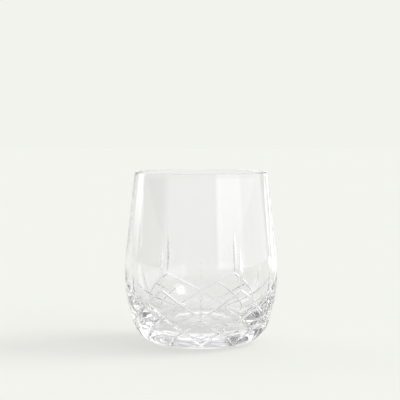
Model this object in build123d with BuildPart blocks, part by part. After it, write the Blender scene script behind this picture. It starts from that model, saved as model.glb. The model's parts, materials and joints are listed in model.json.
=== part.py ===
"""A stemless crystal whiskey tumbler: one piece of glass with a cut lower wall.

Millimetres, +Z up. The origin is the centre of the ring that the tumbler rests
on, and -Y is the front, where the middle of one plain window faces.
"""
from build123d import *
from math import acos, asin, atan2, cos, hypot, radians, sin, tan
import os

os.makedirs("parts", exist_ok=True)

# ---- Driving dimensions ------------------------------------------------------------
HEIGHT = 95.0
RIM_DIAMETER = 73.2
LIP_THICKNESS = 1.4

BELLY_DIAMETER = 84.5        # the widest place of the outer wall
BELLY_HEIGHT = 40.0
BELLY_RADIUS = 86.0          # radius of the wall's upright arc there
FOOT_LEAN = 20.0             # degrees that the wall leans in where the foot begins

BORE_DIAMETER = 77.8         # the widest place of the inner wall
BORE_HEIGHT = 42.0
BORE_RADIUS = 48.0
FLOOR_LEAN = 30.0            # degrees that the bore leans in where its corner begins
FLOOR_HEIGHT = 10.0

PUNT_DIAMETER = 32.0         # shallow hollow under the base
PUNT_DEPTH = 1.5

# ---- Driving dimensions of the cutting ---------------------------------------------
REPEATS = 6                  # windows round the wall, with a peak between each two
SECTOR = 360 / REPEATS
PEAK_HEIGHT = 33.5           # where the diagonal cuts meet under each tall cut
SLOPE = 0.5                  # fall of a diagonal cut in mm for each degree round the wall
LATTICE_END = 2.0            # height where the diagonal cuts run out on the foot

HALF_ANGLE = 62.0            # half of the V angle of every cut
DIAGONAL_DEPTH = 0.45
CLEARANCE = 0.8              # how far the diagonal cutters stand out of the wall
RUN_OUT = 4.0                # length over which a diagonal cutter lifts off the wall
LIFT = 0.52                  # and how high it lifts
OVERRUN = 1.5                # degrees that a diagonal cut starts before its meeting point
STATION_SPACING = 3.0        # greatest length between two sections of a diagonal cutter
TANGENT_STEP = 0.05          # fall over which a diagonal's direction is taken

TALL_CUT = (33.5, 54.5)      # lower and upper tip of the upright cuts over the peaks
TALL_DEPTH = 0.72
SHORT_CUT = (20.0, 41.5)     # the same for the ones in the windows
SHORT_DEPTH = 0.5
EDGE_SIZE = 2.0              # radial size of the V edge of the wheel that makes them

FRONT = -90.0                # azimuth of the front, counted from +X


# ---- The wall's outline ------------------------------------------------------------
class Wall:
    """A wall outline: straight taper, upright arc, then a corner arc down to a level."""

    def __init__(self, top_radius, belly_radius_at, belly_height, arc, lean, level):
        self.arc = arc
        self.centre = (belly_radius_at - arc, belly_height)
        self.level = level
        reach = hypot(top_radius - self.centre[0], HEIGHT - belly_height)
        rise = atan2(HEIGHT - belly_height, top_radius - self.centre[0])
        self.taper = rise - acos(arc / reach)
        self.lean = radians(lean)
        self.taper_end = self.on_arc(-self.taper)
        self.corner_top = self.on_arc(self.lean)
        self.corner = (self.corner_top[1] - level) / (1 - sin(self.lean))
        self.corner_end = (self.corner_top[0] - self.corner * cos(self.lean), level)

    def on_arc(self, lean):
        """Point of the upright arc whose outward normal dips by the given angle."""
        return self.centre[0] + self.arc * cos(lean), self.centre[1] - self.arc * sin(lean)

    def on_corner(self, lean):
        """Point of the corner arc whose outward normal dips by the given angle."""
        return (
            self.corner_end[0] + self.corner * cos(lean),
            self.level + self.corner * (1 - sin(lean)),
        )

    def at(self, height):
        """Radius of the wall at a height, and the dip of its outward normal there."""
        if height > self.taper_end[1]:
            return self.taper_end[0] - (height - self.taper_end[1]) * tan(self.taper), -self.taper
        if height > self.corner_top[1]:
            lean = asin((self.centre[1] - height) / self.arc)
            return self.on_arc(lean)[0], lean
        lean = asin(1 - (height - self.level) / self.corner)
        return self.on_corner(lean)[0], lean

    def middles(self):
        """A point half-way along the upright arc and one half-way along the corner."""
        return (
            self.on_arc((self.lean - self.taper) / 2),
            self.on_corner((self.lean + radians(90)) / 2),
        )


rim_radius = RIM_DIAMETER / 2
outer = Wall(rim_radius, BELLY_DIAMETER / 2, BELLY_HEIGHT, BELLY_RADIUS, FOOT_LEAN, 0.0)
inner = Wall(
    rim_radius - LIP_THICKNESS, BORE_DIAMETER / 2, BORE_HEIGHT, BORE_RADIUS, FLOOR_LEAN, FLOOR_HEIGHT
)


# ---- Cutters -----------------------------------------------------------------------
def wall_point(azimuth, height):
    """Point of the outer wall and its outward normal, the azimuth counted from the front."""
    radius, lean = outer.at(height)
    turn = radians(FRONT + azimuth)
    point = Vector(radius * cos(turn), radius * sin(turn), height)
    normal = Vector(cos(lean) * cos(turn), cos(lean) * sin(turn), -sin(lean))
    return point, normal


def upright_cutter(azimuth, tips, depth):
    """V-shaped edge of the wheel that leaves an upright cut with a point at each end."""
    middle = (tips[0] + tips[1]) / 2
    half_length = (tips[1] - tips[0]) / 2
    point, normal = wall_point(azimuth, middle)
    wheel = 1 / (2 * depth / half_length**2 - 1 / BELLY_RADIUS)
    hub = point + normal * (wheel - depth)
    sideways = Vector(0, 0, 1).cross(normal).normalized()
    half_width = EDGE_SIZE * tan(radians(HALF_ANGLE))
    with BuildPart() as cutter:
        with BuildSketch(Plane(origin=hub, x_dir=-normal, z_dir=sideways.cross(normal))):
            with BuildLine():
                Polyline(
                    (wheel, 0),
                    (wheel - EDGE_SIZE, half_width),
                    (wheel - EDGE_SIZE, -half_width),
                    close=True,
                )
            make_face()
        revolve(axis=Axis(hub, sideways))
    return cutter.part


def diagonal_cutter(azimuth, height, direction):
    """V-shaped cutter that follows a falling diagonal from a meeting point to the foot."""

    def place(top):
        return wall_point(azimuth + direction * (height - top) / SLOPE, top)

    start = height + OVERRUN * SLOPE
    heights = [start]
    while heights[-1] > LATTICE_END + STATION_SPACING / 2:
        fall = STATION_SPACING * cos(outer.at(heights[-1])[1]) * SLOPE
        heights.append(heights[-1] - fall)
    travelled = [0.0]
    for upper, lower in zip(heights, heights[1:]):
        travelled.append(travelled[-1] + (place(lower)[0] - place(upper)[0]).length)

    half_width = (DIAGONAL_DEPTH + CLEARANCE) * tan(radians(HALF_ANGLE))
    with BuildPart() as cutter:
        for top, run in zip(heights, travelled):
            to_end = min(run, travelled[-1] - run)
            lift = LIFT * max(0.0, 1 - to_end / RUN_OUT) ** 2
            point, normal = place(top)
            tangent = (place(top - TANGENT_STEP)[0] - place(top + TANGENT_STEP)[0]).normalized()
            with BuildSketch(Plane(origin=point + normal * lift, x_dir=normal, z_dir=tangent)):
                with BuildLine():
                    Polyline(
                        (-DIAGONAL_DEPTH, 0),
                        (CLEARANCE, half_width),
                        (CLEARANCE, -half_width),
                        close=True,
                    )
                make_face()
        loft()
    return cutter.part


half_sector = SECTOR / 2
edge_middle = half_sector / 2
secondary_height = PEAK_HEIGHT - SLOPE * edge_middle
upright_cutters = [
    upright_cutter(half_sector, TALL_CUT, TALL_DEPTH),
    upright_cutter(0, SHORT_CUT, SHORT_DEPTH),
]
diagonal_cutters = [
    diagonal_cutter(half_sector, PEAK_HEIGHT, +1),
    diagonal_cutter(half_sector, PEAK_HEIGHT, -1),
    diagonal_cutter(edge_middle, secondary_height, +1),
    diagonal_cutter(-edge_middle, secondary_height, -1),
]

# ---- The glass ---------------------------------------------------------------------
with BuildPart() as tumbler_glass:
    with BuildSketch(Plane.XZ):
        with BuildLine():
            outer_middle, outer_corner_middle = outer.middles()
            inner_middle, inner_corner_middle = inner.middles()
            punt_edge = PUNT_DIAMETER / 2
            Line((0, PUNT_DEPTH), (0, FLOOR_HEIGHT))
            Line((0, FLOOR_HEIGHT), inner.corner_end)
            ThreePointArc(inner.corner_end, inner_corner_middle, inner.corner_top)
            ThreePointArc(inner.corner_top, inner_middle, inner.taper_end)
            lip_height = HEIGHT - LIP_THICKNESS / 2
            lip_inside = (inner.at(lip_height)[0], lip_height)
            lip_outside = (outer.at(lip_height)[0], lip_height)
            Line(inner.taper_end, lip_inside)
            ThreePointArc(lip_inside, ((lip_inside[0] + lip_outside[0]) / 2, HEIGHT), lip_outside)
            Line(lip_outside, outer.taper_end)
            ThreePointArc(outer.taper_end, outer_middle, outer.corner_top)
            ThreePointArc(outer.corner_top, outer_corner_middle, outer.corner_end)
            Line(outer.corner_end, (punt_edge, 0))
            TangentArc((0, PUNT_DEPTH), (punt_edge, 0), tangent=(1, 0))
        make_face()
    revolve(axis=Axis.Z)
    for cutter in upright_cutters + diagonal_cutters:
        with PolarLocations(0, REPEATS):
            add(cutter, mode=Mode.SUBTRACT)

tumbler_glass.part.label = "tumbler_glass"
export_step(tumbler_glass.part, "parts/tumbler_glass.step")
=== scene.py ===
"""A cut-crystal whiskey tumbler on a pale seamless floor, in soft studio light.

The glass is a dense body of revolution with V-edged bars cut out of its wall. It stands
on a light table, inside a studio whose lights are soft windows in the world's background.
The scene is in metres and the glass's own sizes are in millimetres. +Z is up, and the
camera looks along +Y.
"""
import json
from math import acos, asin, atan2, ceil, cos, hypot, pi, radians, sin, tan

import bmesh
import bpy
import numpy as np
from mathutils import Matrix, Quaternion, Vector

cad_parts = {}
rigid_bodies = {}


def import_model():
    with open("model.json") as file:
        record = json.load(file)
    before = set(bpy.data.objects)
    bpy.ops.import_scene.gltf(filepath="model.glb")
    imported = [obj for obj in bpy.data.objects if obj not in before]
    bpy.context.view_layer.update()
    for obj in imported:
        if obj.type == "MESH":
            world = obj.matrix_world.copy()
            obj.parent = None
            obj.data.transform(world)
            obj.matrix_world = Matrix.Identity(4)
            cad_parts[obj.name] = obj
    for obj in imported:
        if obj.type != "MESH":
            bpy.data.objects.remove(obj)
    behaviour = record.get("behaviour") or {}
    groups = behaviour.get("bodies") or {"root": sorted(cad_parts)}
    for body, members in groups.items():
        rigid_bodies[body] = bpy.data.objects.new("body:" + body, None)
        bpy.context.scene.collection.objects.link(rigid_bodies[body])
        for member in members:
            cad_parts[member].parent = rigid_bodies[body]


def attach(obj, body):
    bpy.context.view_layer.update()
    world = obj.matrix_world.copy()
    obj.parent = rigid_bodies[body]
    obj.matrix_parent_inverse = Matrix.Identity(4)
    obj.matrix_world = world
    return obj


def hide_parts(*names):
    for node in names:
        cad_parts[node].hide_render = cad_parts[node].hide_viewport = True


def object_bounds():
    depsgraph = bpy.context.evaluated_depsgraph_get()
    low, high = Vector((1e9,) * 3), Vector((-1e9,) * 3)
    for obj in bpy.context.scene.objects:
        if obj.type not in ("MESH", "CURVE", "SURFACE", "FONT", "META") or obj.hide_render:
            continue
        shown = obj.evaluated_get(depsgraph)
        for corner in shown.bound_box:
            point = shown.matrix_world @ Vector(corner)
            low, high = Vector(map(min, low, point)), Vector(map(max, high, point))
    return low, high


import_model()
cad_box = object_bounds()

scene = bpy.context.scene


# ---- Camera ------------------------------------------------------------------------
CAMERA_DISTANCE = 0.726      # from the glass's axis, in metres
CAMERA_HEIGHT = 0.121
CAMERA_ASIDE = -0.0006
CAMERA_PITCH = -3.3          # degrees
CAMERA_LENS = 118.35         # millimetres, as is the sensor
SENSOR_WIDTH = 36.0


def make_camera():
    data = bpy.data.cameras.new("camera")
    data.lens = CAMERA_LENS
    data.sensor_width = SENSOR_WIDTH
    data.clip_start = 0.01
    data.clip_end = 100.0
    camera = bpy.data.objects.new("camera", data)
    scene.collection.objects.link(camera)
    camera.location = (CAMERA_ASIDE, -CAMERA_DISTANCE, CAMERA_HEIGHT)
    camera.rotation_euler = (radians(90 + CAMERA_PITCH), 0.0, 0.0)
    scene.camera = camera


# ---- Node helpers ------------------------------------------------------------------
class Tree:
    """Short ways to add and join shader nodes."""

    def __init__(self, tree):
        self.tree = tree
        tree.nodes.clear()

    def add(self, kind, **settings):
        node = self.tree.nodes.new(kind)
        for name, value in settings.items():
            setattr(node, name, value)
        return node

    def feed(self, socket, value):
        """Links a socket to an output, or sets it to a number or colour."""
        if isinstance(value, bpy.types.NodeSocket):
            self.tree.links.new(value, socket)
        else:
            socket.default_value = value

    def math(self, operation, *values):
        node = self.add("ShaderNodeMath", operation=operation)
        for socket, value in zip(node.inputs, values):
            self.feed(socket, value)
        return node.outputs[0]

    def step(self, value, start, end, low=0.0, high=1.0):
        """A smooth change from low to high as the value goes from start to end."""
        node = self.add("ShaderNodeMapRange", interpolation_type="SMOOTHSTEP")
        self.feed(node.inputs["Value"], value)
        self.feed(node.inputs["From Min"], start)
        self.feed(node.inputs["From Max"], end)
        self.feed(node.inputs["To Min"], low)
        self.feed(node.inputs["To Max"], high)
        return node.outputs["Result"]


# ---- Light -------------------------------------------------------------------------
# Azimuths are in degrees round the glass from straight behind it, right being
# positive, so that the camera stands at 180. A light is a window of azimuths and one
# of elevations, each a middle, a half width and a soft edge, and then its radiance.
BACKDROP = (0.887, 0.896, 0.847)
STUDIO_WHITE = (0.94, 0.94, 0.95)
DIM = 0.2                    # radiance of the unlit studio
LIGHTS = {
    "back wall": ((0, 50, 8), (0, 5, 4), 0.55),
    "back light": ((0, 16, 8), (18, 13, 6), 1.3),
    "front": ((197, 44, 9), (8, 9, 6), 1.1),
    "key": ((133, 21, 5), (8, 8, 5), 2.6),
    "high key": ((133, 9, 8), (36, 7, 6), 9.0),
    "right": ((86, 27, 5), (5, 8, 4), 1.6),
    "right strip": ((20, 11, 4), (0, 8, 2), 0.8),
    "left strip": ((-56, 10, 2), (20, 19, 2), 2.0),
    "overhead": ((48, 76, 5), (62, 28, 4), 1.15),
    "left overhead": ((-52, 22, 6), (50, 22, 5), 1.0),
    "zenith": ((-132, 104, 5), (90, 19, 5), 1.1),
}


def soft_window(tree, angle, middle, half_width, edge):
    """1 inside half_width of the middle, falling smoothly to 0 over the edge."""
    off = tree.math("SUBTRACT", angle, float(middle))
    off = tree.math("WRAP", off, 180.0, -180.0)
    off = tree.math("ABSOLUTE", off)
    return tree.step(off, float(half_width - edge), float(half_width + edge), 1.0, 0.0)


def studio_level(tree):
    """Radiance of the studio in the direction that a ray leaves in."""
    direction = tree.add("ShaderNodeTexCoord").outputs["Generated"]
    split = tree.add("ShaderNodeSeparateXYZ")
    tree.feed(split.inputs[0], direction)
    x, y, z = split.outputs
    azimuth = tree.math("DEGREES", tree.math("ARCTAN2", x, y))
    elevation = tree.math("DEGREES", tree.math("ARCSINE", z))
    level = DIM
    for across, upright, strength in LIGHTS.values():
        sides = soft_window(tree, azimuth, *across)
        ends = soft_window(tree, elevation, *upright)
        level = tree.math("MULTIPLY_ADD", tree.math("MULTIPLY", sides, ends), strength, level)
    return level


def make_world():
    """The plain backdrop for the camera, and the studio for everything in the glass."""
    world = bpy.data.worlds.new("studio")
    scene.world = world
    world.use_nodes = True
    tree = Tree(world.node_tree)
    studio = tree.add("ShaderNodeBackground")
    studio.inputs["Color"].default_value = (*STUDIO_WHITE, 1.0)
    tree.feed(studio.inputs["Strength"], studio_level(tree))
    plain = tree.add("ShaderNodeBackground")
    plain.inputs["Color"].default_value = (*BACKDROP, 1.0)
    seen = tree.add("ShaderNodeLightPath").outputs["Is Camera Ray"]
    mix = tree.add("ShaderNodeMixShader")
    tree.feed(mix.inputs[0], seen)
    tree.feed(mix.inputs[1], studio.outputs[0])
    tree.feed(mix.inputs[2], plain.outputs[0])
    output = tree.add("ShaderNodeOutputWorld")
    tree.feed(output.inputs["Surface"], mix.outputs[0])


# A glowing card that stands on the table, to the right of the glass and behind it.
CARD_NEAR = (0.160, 0.170)
CARD_FAR = (0.250, 0.750)
CARD_HEIGHT = 0.035
CARD_RADIANCE = 1.2


def make_card():
    """The card, which the glass mirrors but which neither the camera nor the floor sees."""
    near = Vector((*CARD_NEAR, 0.0))
    far = Vector((*CARD_FAR, 0.0))
    data = bpy.data.lights.new("card", "AREA")
    data.shape = "RECTANGLE"
    data.size = (far - near).length
    data.size_y = CARD_HEIGHT
    data.energy = CARD_RADIANCE * pi * data.size * data.size_y
    card = bpy.data.objects.new("card", data)
    scene.collection.objects.link(card)
    up = Vector((0.0, 0.0, 1.0))
    along = (far - near).normalized()
    turn = Matrix((along, up, along.cross(up))).transposed()
    middle = (near + far + up * CARD_HEIGHT) / 2
    card.matrix_world = Matrix.Translation(middle) @ turn.to_4x4()
    card.visible_camera = False
    card.visible_diffuse = False


# A wide distant light from the right, which gives the table the glass's faint shadow.
SUN_TILT = 55.0              # degrees from overhead, towards the right
SUN_TURN = 8.0               # degrees from there towards the back
SUN_WIDTH = 40.0
SUN_SHARE = 0.12             # of the floor's brightness


def make_sun():
    data = bpy.data.lights.new("sun", "SUN")
    data.angle = radians(SUN_WIDTH)
    data.energy = SUN_SHARE * pi / (FLOOR_PAPER * cos(radians(SUN_TILT)))
    sun = bpy.data.objects.new("sun", data)
    scene.collection.objects.link(sun)
    sun.rotation_euler = (0.0, radians(SUN_TILT), radians(SUN_TURN))
    sun.visible_glossy = False
    sun.visible_transmission = False


FLOOR_REACH = 6.0            # from the glass to each edge of the floor
FLOOR_GAP = 0.0001           # how far the floor lies under the glass
FLOOR_GLOW = 0.69            # share of the floor's brightness that is its own
FLOOR_PAPER = 0.23           # reflectance, whose share makes up the rest


def make_floor():
    """A pale light table, as bright as the backdrop, so that its edge doesn't show."""
    data = bpy.data.meshes.new("floor")
    signs = [(-1, -1), (1, -1), (1, 1), (-1, 1)]
    corners = [(FLOOR_REACH * x, FLOOR_REACH * y, 0) for x, y in signs]
    data.from_pydata(corners, [], [(0, 1, 2, 3)])
    floor = bpy.data.objects.new("floor", data)
    scene.collection.objects.link(floor)
    floor.location.z = cad_box[0].z - FLOOR_GAP
    material = bpy.data.materials.new("light_table")
    material.use_nodes = True
    tree = Tree(material.node_tree)
    shader = tree.add("ShaderNodeBsdfPrincipled")
    shader.inputs["Base Color"].default_value = (*(FLOOR_PAPER * c for c in BACKDROP), 1.0)
    shader.inputs["Roughness"].default_value = 1.0
    shader.inputs["Specular IOR Level"].default_value = 0.0
    shader.inputs["Emission Color"].default_value = (*BACKDROP, 1.0)
    shader.inputs["Emission Strength"].default_value = FLOOR_GLOW
    output = tree.add("ShaderNodeOutputMaterial")
    tree.feed(output.inputs["Surface"], shader.outputs[0])
    data.materials.append(material)


# ---- Glass -------------------------------------------------------------------------
BOUNCES = 40                 # enough for light that is caught among the facets
GLASS_IOR = 1.54
GLASS_TINT = (0.960, 0.958, 0.966)
HAZE = (0.0, 0.012)          # roughness of the clear wall and of its haziest patches
HAZE_RANGE = (0.5, 0.7)      # of the noise that makes them
HAZE_PATCHES = 45.0          # per metre
MARKS = (0.18, 0.30)         # roughness of the wheel's finest and coarsest marks
MARK_RANGE = (0.35, 0.65)
MARKS_PER_METRE = 900.0
WAVE_HEIGHT = 0.00004        # metres
WAVES = 40.0                 # of the blown wall, per metre


def noise(tree, place, scale, detail):
    """Noise between 0 and 1 with about so many patches per metre."""
    node = tree.add("ShaderNodeTexNoise")
    tree.feed(node.inputs["Vector"], place)
    node.inputs["Scale"].default_value = scale
    node.inputs["Detail"].default_value = detail
    return node.outputs["Fac"]


def make_crystal():
    """Clear glass: a wavy polished wall, faintly hazy in patches, and softer, ground cuts."""
    material = bpy.data.materials.new("crystal")
    material.use_nodes = True
    tree = Tree(material.node_tree)
    shader = tree.add("ShaderNodeBsdfPrincipled")
    shader.inputs["Base Color"].default_value = (*GLASS_TINT, 1.0)
    shader.inputs["Transmission Weight"].default_value = 1.0
    shader.inputs["IOR"].default_value = GLASS_IOR
    place = tree.add("ShaderNodeTexCoord").outputs["Object"]
    haze = tree.step(noise(tree, place, HAZE_PATCHES, 2.0), *HAZE_RANGE, *HAZE)
    marks = tree.step(noise(tree, place, MARKS_PER_METRE, 1.0), *MARK_RANGE, *MARKS)
    cut = tree.add("ShaderNodeAttribute", attribute_name="wheel_cut").outputs["Fac"]
    tree.feed(shader.inputs["Roughness"], tree.math("MULTIPLY_ADD", cut, marks, haze))
    bump = tree.add("ShaderNodeBump")
    bump.inputs["Distance"].default_value = WAVE_HEIGHT
    tree.feed(bump.inputs["Height"], noise(tree, place, WAVES, 0.0))
    tree.feed(shader.inputs["Normal"], bump.outputs[0])
    output = tree.add("ShaderNodeOutputMaterial")
    tree.feed(output.inputs["Surface"], shader.outputs[0])
    return material


# ---- The tumbler's driving dimensions, in millimetres, as in the CAD part ----------
MM = 0.001
HEIGHT = 95.0
RIM_RADIUS = 36.6
LIP_THICKNESS = 1.4
BELLY_RADIUS = 42.25         # greatest radius of the outer wall
BELLY_HEIGHT = 40.0
BELLY_ARC = 86.0             # radius of the upright arc there
FOOT_LEAN = 20.0             # degrees that the wall leans in where the foot begins
BORE_RADIUS = 38.9           # the same for the inner wall
BORE_HEIGHT = 42.0
BORE_ARC = 48.0
FLOOR_LEAN = 30.0            # degrees that the bore leans in where its corner begins
FLOOR_HEIGHT = 10.0
PUNT_RADIUS = 16.0           # shallow hollow under the base
PUNT_DEPTH = 1.5

REPEATS = 6                  # windows round the wall, with a peak between each two
HALF_SECTOR = 30.0           # degrees from the middle of a window to a peak
PEAK_HEIGHT = 33.5           # where the diagonal cuts meet under each tall cut
SLOPE = 0.5                  # fall of a diagonal cut in mm for each degree round the wall
LATTICE_END = 2.0            # height where the diagonal cuts run out on the foot
HALF_ANGLE = 62.0            # half of the V angle of every cut
DIAGONAL_DEPTH = 0.45
CLEARANCE = 0.8              # how far a cutter stands out of the wall
RUN_OUT = 4.0                # length over which a diagonal cutter lifts off the wall
LIFT = 0.52                  # and how high
OVERRUN = 1.5                # degrees that a diagonal cut starts before its meeting point

TALL_CUT = (33.5, 54.5)      # lower and upper tip of the upright cuts over the peaks
TALL_DEPTH = 0.72
SHORT_CUT = (20.0, 41.5)     # the same for the ones in the windows
SHORT_DEPTH = 0.5

# ---- How finely the mesh follows them ----------------------------------------------
SEGMENTS = 240               # steps round the body
ARC_STEP = radians(2.5)      # greatest turn between two rows of the body
ROW_SPACING = 2.5            # and their greatest distance
CUT_STEP = 0.8               # between the stations of a cutter
TANGENT_STEP = 0.05          # fall over which a diagonal's direction is taken
OVERREACH = 1.3              # length of an upright cutter for each length of its cut
CREASE = radians(20)         # edges that turn by more than this stay crisp
NEARLY_ZERO = 1e-6           # a radius that counts as being on the axis


# ---- The outline -------------------------------------------------------------------
class Wall:
    """A wall outline: straight taper, upright arc, then a corner arc down to a level."""

    def __init__(self, top_radius, widest, widest_height, arc, lean, level):
        self.arc = arc
        self.centre = (widest - arc, widest_height)
        reach = hypot(top_radius - self.centre[0], HEIGHT - widest_height)
        rise = atan2(HEIGHT - widest_height, top_radius - self.centre[0])
        self.taper = rise - acos(arc / reach)
        self.lean = radians(lean)
        self.taper_end = self.on_arc(-self.taper)
        corner_top = self.on_arc(self.lean)
        self.corner_height = corner_top[1]
        self.corner = (corner_top[1] - level) / (1 - sin(self.lean))
        self.corner_centre = (corner_top[0] - self.corner * cos(self.lean), level + self.corner)

    def on_arc(self, lean):
        """Point of the upright arc whose outward normal dips by the given angle."""
        return self.centre[0] + self.arc * cos(lean), self.centre[1] - self.arc * sin(lean)

    def at(self, height):
        """Radius of the wall at a height, and the dip of its outward normal there."""
        if height > self.taper_end[1]:
            return self.taper_end[0] - (height - self.taper_end[1]) * tan(self.taper), -self.taper
        if height > self.corner_height:
            lean = asin((self.centre[1] - height) / self.arc)
            return self.on_arc(lean)[0], lean
        lean = asin((self.corner_centre[1] - height) / self.corner)
        return self.corner_centre[0] + self.corner * cos(lean), lean


outer = Wall(RIM_RADIUS, BELLY_RADIUS, BELLY_HEIGHT, BELLY_ARC, FOOT_LEAN, 0.0)
inner = Wall(RIM_RADIUS - LIP_THICKNESS, BORE_RADIUS, BORE_HEIGHT, BORE_ARC, FLOOR_LEAN, FLOOR_HEIGHT)


def arc_run(centre, radius, start, end, facing):
    """Rows of radius, height and normal along an arc, from one dip of its normal to another."""
    turn = abs(end - start)
    count = ceil(max(turn / ARC_STEP, turn * radius / ROW_SPACING))
    rows = []
    for i in range(count + 1):
        dip = start + (end - start) * i / count
        across, up = cos(dip), -sin(dip)
        rows.append((centre[0] + radius * across, centre[1] + radius * up, facing * across, facing * up))
    return rows


def straight_run(start, end, normal):
    """The same along a straight line."""
    across, up = end[0] - start[0], end[1] - start[1]
    count = ceil(hypot(across, up) / ROW_SPACING)
    rows = []
    for i in range(count + 1):
        rows.append((start[0] + across * i / count, start[1] + up * i / count, *normal))
    return rows


def outline():
    """The punt's rows, and the rows of all the rest from the resting ring to the floor."""
    dome = (PUNT_RADIUS**2 + PUNT_DEPTH**2) / (2 * PUNT_DEPTH)
    quarter = radians(90)
    punt = arc_run((0.0, PUNT_DEPTH - dome), dome, -quarter, asin(PUNT_RADIUS / dome) - quarter, -1)
    lip_height = HEIGHT - LIP_THICKNESS / 2
    lip_outside, lip_inside = outer.at(lip_height)[0], inner.at(lip_height)[0]
    half = (lip_outside - lip_inside) / 2
    lip = (half**2 + (LIP_THICKNESS / 2) ** 2) / LIP_THICKNESS
    lip_centre = (lip_inside + half, HEIGHT - lip)
    lip_dip = atan2(lip_height - lip_centre[1], half)
    runs = [
        straight_run((PUNT_RADIUS, 0.0), (outer.corner_centre[0], 0.0), (0.0, -1.0)),
        arc_run(outer.corner_centre, outer.corner, quarter, outer.lean, 1),
        arc_run(outer.centre, outer.arc, outer.lean, -outer.taper, 1),
        straight_run(outer.taper_end, (lip_outside, lip_height), (cos(outer.taper), sin(outer.taper))),
        arc_run(lip_centre, lip, -lip_dip, lip_dip - 2 * quarter, 1),
        straight_run((lip_inside, lip_height), inner.taper_end, (-cos(inner.taper), -sin(inner.taper))),
        arc_run(inner.centre, inner.arc, -inner.taper, inner.lean, -1),
        arc_run(inner.corner_centre, inner.corner, inner.lean, quarter, -1),
        straight_run((inner.corner_centre[0], FLOOR_HEIGHT), (0.0, FLOOR_HEIGHT), (0.0, 1.0)),
    ]
    rest = runs[0][:1]
    for run in runs:
        rest += run[1:]
    return punt, rest


# ---- Body and cutters --------------------------------------------------------------
def make_object(name, shape, material):
    """An object from a closed shape, with its faces turned outwards."""
    bmesh.ops.recalc_face_normals(shape, faces=shape.faces)
    data = bpy.data.meshes.new(name)
    shape.to_mesh(data)
    shape.free()
    data.materials.append(material)
    thing = bpy.data.objects.new(name, data)
    scene.collection.objects.link(thing)
    return thing


def join_rows(shape, rows):
    """Faces between each two rows of vertices, where a row of one vertex is a pole."""
    for row, following in zip(rows, rows[1:]):
        longest = max(len(row), len(following))
        for i in range(longest):
            pairs = [(row, i), (row, i + 1), (following, i + 1), (following, i)]
            corners = []
            for vertices, place in pairs:
                corner = vertices[place % len(vertices)]
                if corner not in corners:
                    corners.append(corner)
            shape.faces.new(corners)


def make_body(material):
    """The uncut glass as a body of revolution."""
    punt, rest = outline()
    shape = bmesh.new()
    rows = []
    for radius, height, _, _ in punt + rest[1:]:
        steps = SEGMENTS if radius > NEARLY_ZERO else 1
        row = []
        for i in range(steps):
            turn = 2 * pi * i / SEGMENTS
            corner = Vector((radius * cos(turn), radius * sin(turn), height))
            row.append(shape.verts.new(corner * MM))
        rows.append(row)
    join_rows(shape, rows)
    return make_object("body", shape, material)


def wall_point(azimuth, height):
    """Point of the outer wall and its outward normal, the azimuth counted from the front."""
    radius, lean = outer.at(height)
    turn = radians(azimuth - 90)
    normal = Vector((cos(lean) * cos(turn), cos(lean) * sin(turn), -sin(lean)))
    return Vector((radius * cos(turn), radius * sin(turn), height)), normal


def upright_stations(azimuth, tips, depth):
    """Edge points, outward and sideways directions along a V-edged wheel in the wall."""
    middle = (tips[0] + tips[1]) / 2
    half_length = (tips[1] - tips[0]) / 2
    point, normal = wall_point(azimuth, middle)
    wheel = 1 / (2 * depth / half_length**2 - 1 / BELLY_ARC)
    hub = point + normal * (wheel - depth)
    side = Vector((0, 0, 1)).cross(normal).normalized()
    reach = OVERREACH * half_length / wheel
    count = ceil(2 * reach * wheel / CUT_STEP)
    stations = []
    for i in range(count + 1):
        outward = Quaternion(side, reach * (2 * i / count - 1)) @ normal
        stations.append((hub - outward * wheel, outward, side))
    return stations


def diagonal_stations(azimuth, height, direction):
    """The same for a cutter that follows a falling diagonal from a meeting point."""
    def place(top):
        return wall_point(azimuth + direction * (height - top) / SLOPE, top)

    heights = [height + OVERRUN * SLOPE]
    travelled = [0.0]
    while heights[-1] > LATTICE_END:
        heights.append(heights[-1] - CUT_STEP * cos(outer.at(heights[-1])[1]) * SLOPE)
        travelled.append(travelled[-1] + (place(heights[-1])[0] - place(heights[-2])[0]).length)
    stations = []
    for top, run in zip(heights, travelled):
        to_end = min(run, travelled[-1] - run)
        lift = LIFT * max(0.0, 1 - to_end / RUN_OUT) ** 2
        point, normal = place(top)
        along = (place(top - TANGENT_STEP)[0] - place(top + TANGENT_STEP)[0]).normalized()
        stations.append((point + normal * (lift - DIAGONAL_DEPTH), normal, normal.cross(along)))
    return stations


def make_cutter(stations, turn, height, material):
    """A V-shaped bar whose edge runs through the stations, turned round the glass."""
    spread = tan(radians(HALF_ANGLE))
    spin = Quaternion((0, 0, 1), radians(turn))
    shape = bmesh.new()
    rows = []
    for edge, outward, side in stations:
        corners = [edge]
        corners.append(edge + (outward + side * spread) * height)
        corners.append(edge + (outward - side * spread) * height)
        rows.append([shape.verts.new(spin @ corner * MM) for corner in corners])
    join_rows(shape, rows)
    shape.faces.new(rows[0])
    shape.faces.new(rows[-1])
    return make_object("cutter", shape, material)


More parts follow.
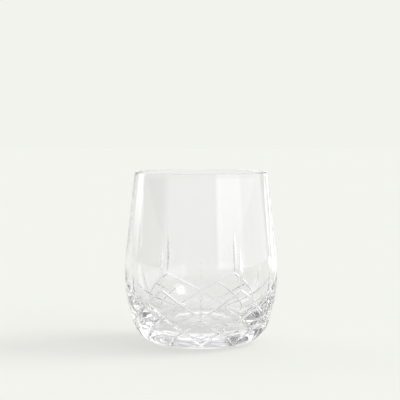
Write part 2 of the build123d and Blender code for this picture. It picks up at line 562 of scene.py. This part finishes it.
def make_cutters(material):
    """All the cutters of the pattern, repeated round the glass, in a collection."""
    edge_middle = HALF_SECTOR / 2
    secondary_height = PEAK_HEIGHT - SLOPE * edge_middle
    patterns = [
        (upright_stations(HALF_SECTOR, TALL_CUT, TALL_DEPTH), TALL_DEPTH + CLEARANCE),
        (upright_stations(0, SHORT_CUT, SHORT_DEPTH), SHORT_DEPTH + CLEARANCE),
        (diagonal_stations(HALF_SECTOR, PEAK_HEIGHT, 1), DIAGONAL_DEPTH + CLEARANCE),
        (diagonal_stations(HALF_SECTOR, PEAK_HEIGHT, -1), DIAGONAL_DEPTH + CLEARANCE),
        (diagonal_stations(edge_middle, secondary_height, 1), DIAGONAL_DEPTH + CLEARANCE),
        (diagonal_stations(-edge_middle, secondary_height, -1), DIAGONAL_DEPTH + CLEARANCE),
    ]
    collection = bpy.data.collections.new("cutters")
    scene.collection.children.link(collection)
    for stations, height in patterns:
        for i in range(REPEATS):
            cutter = make_cutter(stations, i * 360 / REPEATS, height, material)
            scene.collection.objects.unlink(cutter)
            collection.objects.link(cutter)
    return collection


def cut_body(material, cut_material):
    """The mesh of the body with the cutters taken out, whose cuts have the second material."""
    body = make_body(material)
    cutters = make_cutters(cut_material)
    cuts = body.modifiers.new("cuts", "BOOLEAN")
    cuts.operation = "DIFFERENCE"
    cuts.operand_type = "COLLECTION"
    cuts.collection = cutters
    cuts.solver = "EXACT"
    cuts.material_mode = "TRANSFER"
    depsgraph = bpy.context.evaluated_depsgraph_get()
    data = bpy.data.meshes.new_from_object(body.evaluated_get(depsgraph))
    for cutter in list(cutters.objects):
        bpy.data.objects.remove(cutter)
    bpy.data.collections.remove(cutters)
    bpy.data.objects.remove(body)
    return data


# ---- Shading of the finished mesh --------------------------------------------------
def read(items, name, kind, width=1):
    """A property of a mesh's items as an array with a row for each."""
    values = np.zeros(len(items) * width, dtype=kind)
    items.foreach_get(name, values)
    return values.reshape(-1, width) if width > 1 else values


def mark_cuts(data, material):
    """Moves the cuts from a material of their own to an attribute that the glass reads."""
    in_cut = read(data.polygons, "material_index", np.int32)
    data.materials.clear()
    data.materials.append(material)
    data.polygons.foreach_set("material_index", np.zeros_like(in_cut))
    share = data.attributes.new("wheel_cut", "FLOAT", "FACE")
    share.data.foreach_set("value", in_cut.astype(np.float32))
    return in_cut > 0


def exact_normals(rows, points):
    """The outline's normals at points near it, turned round the axis to each point."""
    starts, ends = np.array(rows[:-1]), np.array(rows[1:])
    flat = np.stack([np.hypot(points[:, 0], points[:, 1]), points[:, 2]], axis=1)
    spans = ends[:, :2] - starts[:, :2]
    offsets = flat[:, None, :] - starts[None, :, :2]
    shares = np.clip((offsets * spans).sum(2) / (spans**2).sum(1), 0, 1)
    gaps = np.linalg.norm(offsets - shares[:, :, None] * spans, axis=2)
    nearest = gaps.argmin(1)
    share = shares[np.arange(len(flat)), nearest][:, None]
    normals = starts[nearest, 2:] * (1 - share) + ends[nearest, 2:] * share
    radius = np.maximum(flat[:, :1], NEARLY_ZERO)
    normals = np.concatenate([points[:, :2] / radius * normals[:, :1], normals[:, 1:]], axis=1)
    return normals / np.linalg.norm(normals, axis=1, keepdims=True)


def shade_smooth(data, in_cut):
    """Gives the wall its exact normals, so that only the cuts' edges break its shine."""
    for polygon in data.polygons:
        polygon.use_smooth = True
    data.set_sharp_from_angle(angle=CREASE)
    sizes = read(data.polygons, "loop_total", np.int32)
    centres = np.repeat(read(data.polygons, "center", np.float32, 3), sizes, axis=0) / MM
    on_wall = ~np.repeat(in_cut, sizes)
    in_punt = (np.hypot(centres[:, 0], centres[:, 1]) < PUNT_RADIUS) & (centres[:, 2] < FLOOR_HEIGHT / 2)
    corners = read(data.loops, "vertex_index", np.int32)
    points = read(data.vertices, "co", np.float32, 3)[corners] / MM
    normals = read(data.corner_normals, "vector", np.float32, 3)
    punt, rest = outline()
    for rows, where in ((punt, in_punt & on_wall), (rest, ~in_punt & on_wall)):
        normals[where] = exact_normals(rows, points[where])
    data.normals_split_custom_set(normals)


def make_tumbler(material):
    """The glass that is seen in place of the CAD part."""
    data = cut_body(material, bpy.data.materials.new("wheel_cut"))
    data.name = "cut_crystal"
    shade_smooth(data, mark_cuts(data, material))
    glass = bpy.data.objects.new("cut_crystal", data)
    scene.collection.objects.link(glass)
    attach(glass, "root")
    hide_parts("tumbler_glass")


# ---- The scene ---------------------------------------------------------------------
make_camera()
make_world()
make_card()
make_sun()
make_floor()
make_tumbler(make_crystal())

scene.cycles.max_bounces = BOUNCES
scene.cycles.transmission_bounces = BOUNCES
scene.cycles.glossy_bounces = BOUNCES
scene.view_settings.view_transform = "Standard"
scene.view_settings.look = "None"
